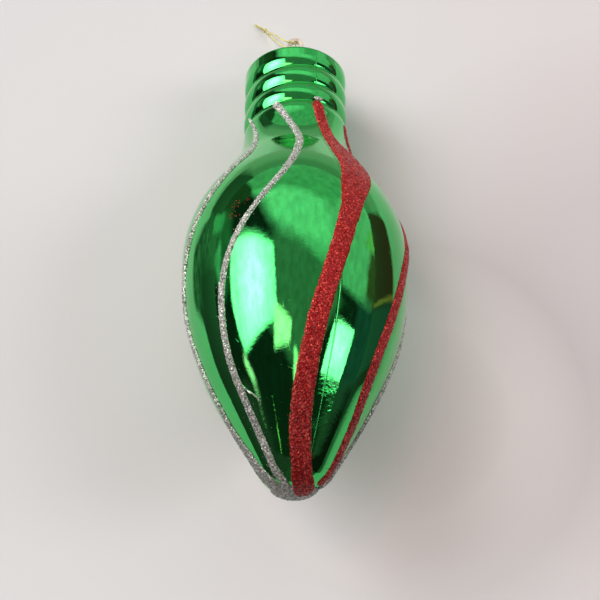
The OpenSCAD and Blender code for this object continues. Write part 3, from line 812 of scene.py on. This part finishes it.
# ---------------------------------------------------------------- studio
# What stands round the ornament, by direction and in the order in which it covers what is before it:
# corners as (azimuth, elevation), radiance, width of the soft edge in degrees
ROOM = [
    # Walls and ceiling, and the brighter wall ahead
    ([(-100, -40), (-97, 21), (-118, 53), (178, 74), (111, 61), (96, 20), (100, -40)], (0.14, 0.10, 0.10), 4),
    ([(-34, 47), (-78, 58), (-175, 81), (101, 70), (74, 38), (-1, 44)], (0.32, 0.30, 0.28), 5),
    ([(-28, -25), (-32, 17), (-24, 40), (11, 54), (62, 44), (57, -30)], (0.50, 0.62, 0.52), 4),
    ([(29, 45), (67, 38), (78, 14), (82, 2), (63, -1), (37, 1)], (0.85, 0.80, 0.79), 4),
    ([(-30, 17), (-26, 42), (4, 54), (46, 45), (37, 30)], (1.25, 1.20, 1.20), 9),
    # Dark, coloured and lit things round the horizon
    ([(-28, -14), (-29, 11), (-36, 17), (-48, 8), (-57, -13)], (0.09, 0.09, 0.06), 3),
    ([(-51, -14), (-47, 11), (-66, 22), (-81, 7), (-77, -18)], (0.13, 0.19, 0.14), 4),
    ([(-73, -17), (-70, 8), (-89, 19), (-103, 21), (-100, -14)], (0.03, 0.03, 0.03), 4),
    ([(-58, 4), (-61, 7), (-73, 7), (-64, -1)], (0.45, 0.60, 0.52), 2.5),
    ([(-69, 2), (-68, 8), (-70, 3), (-69, -3)], (0.25, 0.35, 0.25), 3),
    ([(58, -18), (56, -1), (68, 10), (76, 11), (80, -17)], (0.30, 0.12, 0.07), 4),
    ([(79, -16), (76, 19), (102, 24), (97, -14)], (0.07, 0.10, 0.15), 5),
    ([(76, -9), (77, 6), (78, 6), (74, -6)], (0.9, 0.22, 0.10), 2),
    ([(55, -1), (57, 8), (59, 9), (64, -2)], (0.85, 0.75, 0.40), 2),
    ([(-97, -7), (-100, 19), (-118, 55), (-171, 61), (-152, -5)], (0.13, 0.07, 0.08), 3),
    ([(97, -2), (102, 15), (115, 55), (170, 60), (128, -4)], (0.03, 0.015, 0.015), 3),
    # The left window and the right one, each with its brighter middle
    ([(-55, 16), (-30, 50), (-64, 70), (-93, 28), (-78, 21)], (3.9, 3.8, 3.8), 2.5),
    ([(-53, 27), (-42, 46), (-67, 58), (-84, 36)], (9.5, 8.6, 8.6), 14),
    ([(79, 45), (85, 20), (101.8, 24), (108, 54)], (4.6, 4.4, 4.4), 1.4),
    ([(82, 43), (87, 27), (96, 29), (99, 47)], (7.5, 6.4, 6.4), 7),
    # Warm lamps
    ([(-58, 65), (-25, 82), (-100, 85), (-96, 66)], (5.5, 3.2, 2.8), 3),
    ([(-95, 23), (-92, 27), (-103, 34), (-103, 28)], (4.5, 2.0, 2.2), 3),
    ([(136, 86), (193, 87), (185, 75), (153, 76)], (4.5, 2.8, 2.4), 3),
    ([(-112, 51.2), (-112, 53.2), (-114, 53.2), (-114, 51.2)], (2.4, 1.7, 0.7), 1.2),
    # A green arch low on the left
    ([(-50, -2), (-57, -2), (-56, 4), (-50, 4)], (0.30, 0.50, 0.40), 3),
]
UNLIT = (0.03, 0.03, 0.03, 1)
# The sheet's plain colour, then painted shade to its right, a painted shadow to the object's right, and painted
# light in the object's shadow beside its tip
PAPER, PAPER_SHADED_RIGHT, PAPER_PAINTED_SHADOW, PAPER_PAINTED_LIGHT = (
    (0.715, 0.775, 0.78, 1), (0.70, 0.73, 0.73, 1), (0.60, 0.60, 0.61, 1), (0.88, 0.90, 0.91, 1))
SHEET_REACH, FLAGS_HEIGHT = 8.0, 0.0003


def towards(azimuth, elevation):
    """A direction in the room."""
    a, e = math.radians(azimuth), math.radians(elevation)
    return np.array([math.sin(a) * math.cos(e), math.cos(a) * math.cos(e), math.sin(e)])


def studio_world():
    """The room by direction. Each thing is where all of its borders' half-spaces overlap."""
    world = bpy.data.worlds.new("studio")
    bpy.context.scene.world = world
    world.use_nodes = True
    n = Nodes(world.node_tree)
    way = n.add("ShaderNodeVectorMath", operation="NORMALIZE",
                inputs={0: n.add("ShaderNodeTexCoord").outputs["Generated"]}).outputs[0]
    light = UNLIT
    for corners, radiance, soft in ROOM:
        points = [towards(*c) for c in corners]
        sides = []
        for a, b in zip(points, points[1:] + points[:1]):
            edge = np.cross(a, b)
            edge = edge / np.linalg.norm(edge)
            edge = edge if edge @ sum(points) > 0 else -edge
            sides.append(n.math("MULTIPLY_ADD", n.dot(way, edge), 1.0 / math.radians(soft), 0.5, clamp=True))
        light = n.mix(n.times(*sides), light, (*radiance, 1))
    mottle = n.math("MULTIPLY_ADD", n.ramp(n.noise(12.0, 5.0, way, 0.65), 0.3, 0.7), 0.5, 0.72)
    uneven = n.vector("SCALE", light, scale=mottle).outputs[0]
    background = n.add("ShaderNodeBackground", inputs={"Color": uneven, "Strength": 1.0})
    n.add("ShaderNodeOutputWorld", inputs={"Surface": background.outputs[0]})


def pale_paper():
    """A plain pale sheet, with painted shade that makes it a little greyer to the object's right, a painted
    shadow there, and painted light that makes it brighter beside its tip.
    """
    made, n, shader = material("pale_paper")
    at = object_position(n)

    def spot(centre, full, none):
        """A round spot with the distances from its centre up to which it is full and where it ends."""
        return n.math("SUBTRACT", 1.0, n.ramp(n.vector("DISTANCE", at, centre).outputs["Value"], full, none))

    wavy_x = n.math("MULTIPLY_ADD", n.noise(3.0, 2.0, at), 0.03, n.parts("XYZ", at)[0])
    # Painted shade: greyer towards the right
    pale = n.mix(n.ramp(wavy_x, -0.02, 0.10), PAPER, PAPER_SHADED_RIGHT)
    # Painted shadow: a darker round spot to the object's right
    pale = n.mix(spot((0.10, 0.0, 0.0), 0.03, 0.09), pale, PAPER_PAINTED_SHADOW)
    n.fill(shader, {
        # Painted light: a brighter round spot in the object's shadow beside its tip
        "Base Color": n.mix(spot((0.032, -0.042, 0.0), 0.032, 0.055), pale, PAPER_PAINTED_LIGHT),
        "Roughness": 0.8, "Specular IOR Level": 0.2,
        "Normal": n.bump(n.noise(700.0, 3.0, at), 0.0001, 0.1)})
    return made


def studio_flags():
    """Things that lie on the sheet out of view and painted shade over its far part, seen only in the mirror,
    and clear where there is nothing.

    Points are in metres on the sheet, +X to the right and +Y away from the camera.
    """
    made, n, shader = material("studio_flags")
    at = object_position(n)
    x, y = n.parts("XYZ", at)[:2]

    def beyond(px, py, nx, ny, soft=0.012):
        """The side of a line through a point that the normal points into."""
        along = n.math("MULTIPLY_ADD", x, nx, n.math("MULTIPLY_ADD", y, ny, -(px * nx + py * ny)))
        return n.ramp(along, -soft / 2, soft / 2)

    def sector(first, last, soft=0.012):
        """The sheet between two azimuths from a point under the bulb's lower half."""
        a, b = math.radians(first), math.radians(last)
        return n.times(beyond(0, -0.02, math.cos(a), -math.sin(a), soft),
                       beyond(0, -0.02, -math.cos(b), math.sin(b), soft))

    # Painted shade: the sheet's far part drawn again, darker than the sheet itself and greyer further out
    ahead = n.mix(beyond(0, 0.30, 0, 1, 0.16), (0.50, 0.50, 0.48, 1), (0.34, 0.36, 0.33, 1))
    # Green clutter on the left, darker at its far end
    green = n.mix(n.ramp(n.noise(38.0, 4.0, at, 0.7), 0.42, 0.72), (0.03, 0.06, 0.04, 1), (0.20, 0.36, 0.27, 1))
    darker = n.times(beyond(-0.16, 0.02, -1, 0, 0.06), sector(-110, -67, 0.03))
    green = n.mix(darker, green, (0.02, 0.04, 0.025, 1))
    # Brown and blue things on the right, with an orange line between them
    brown = n.mix(sector(50, 79), (0.03, 0.02, 0.02, 1), (0.14, 0.02, 0.012, 1))
    bands = n.mix(sector(79, 97), brown, (0.05, 0.08, 0.11, 1))
    bands = n.mix(sector(76.6, 78, 0.004), bands, (0.9, 0.24, 0.09, 1))
    # Later ones cover earlier ones: the clutter, a black thing beyond it, the bands and what is past
    # them on the right, and a dark corner and the green arch ahead on the left
    flags = [
        (n.times(beyond(-0.097, 0.035, -0.73, -0.68), beyond(-0.088, -0.004, -0.089, 0.996),
                 beyond(-0.094, 0, -1, 0)), green),
        (n.times(beyond(-0.150, -0.02, -0.99, 0.13), beyond(-0.15, 0.005, -0.089, -0.996)),
         (0.04, 0.03, 0.03, 1)),
        (n.times(beyond(0.116, 0.02, 0.93, -0.36, 0.014), sector(50, 104, 0.02)), bands),
        (n.times(beyond(0.26, -0.10, 0.93, -0.36, 0.30), sector(104, 130, 0.02)), (0.10, 0.10, 0.10, 1)),
        (n.times(beyond(-0.110, 0.143, -0.55, 0.83, 0.02), sector(-52, -24, 0.03)), (0.03, 0.06, 0.035, 1)),
        (n.times(beyond(-0.35, 0.25, -0.8, 0.6, 0.05), sector(-57, -51, 0.03)), (0.22, 0.50, 0.34, 1))]
    colour, clear = ahead, n.math("SUBTRACT", 1.0, beyond(0, 0.115, 0, 1, 0.02))
    for mask, shown in flags:
        colour = n.mix(mask, colour, shown)
        clear = n.times(clear, n.math("SUBTRACT", 1.0, mask))
    n.fill(shader, {"Base Color": colour, "Alpha": n.math("SUBTRACT", 1.0, clear),
                    "Roughness": 0.8, "Specular IOR Level": 0.2})
    return made


studio_world()
for name, height, finish in (("studio_floor", 0.0, pale_paper()),
                             ("studio_flags", FLAGS_HEIGHT, studio_flags())):
    corners = [(SHEET_REACH * i, SHEET_REACH * j, height) for i, j in ((-1, -1), (1, -1), (1, 1), (-1, 1))]
    sheet = mesh_object(name, corners, [np.array([[0, 1, 2, 3]])])
    sheet.data.materials.append(finish)
# The flags, the last sheet made, show in reflections alone
sheet.visible_camera = sheet.visible_shadow = sheet.visible_diffuse = False

bpy.context.scene.view_settings.view_transform = "Standard"
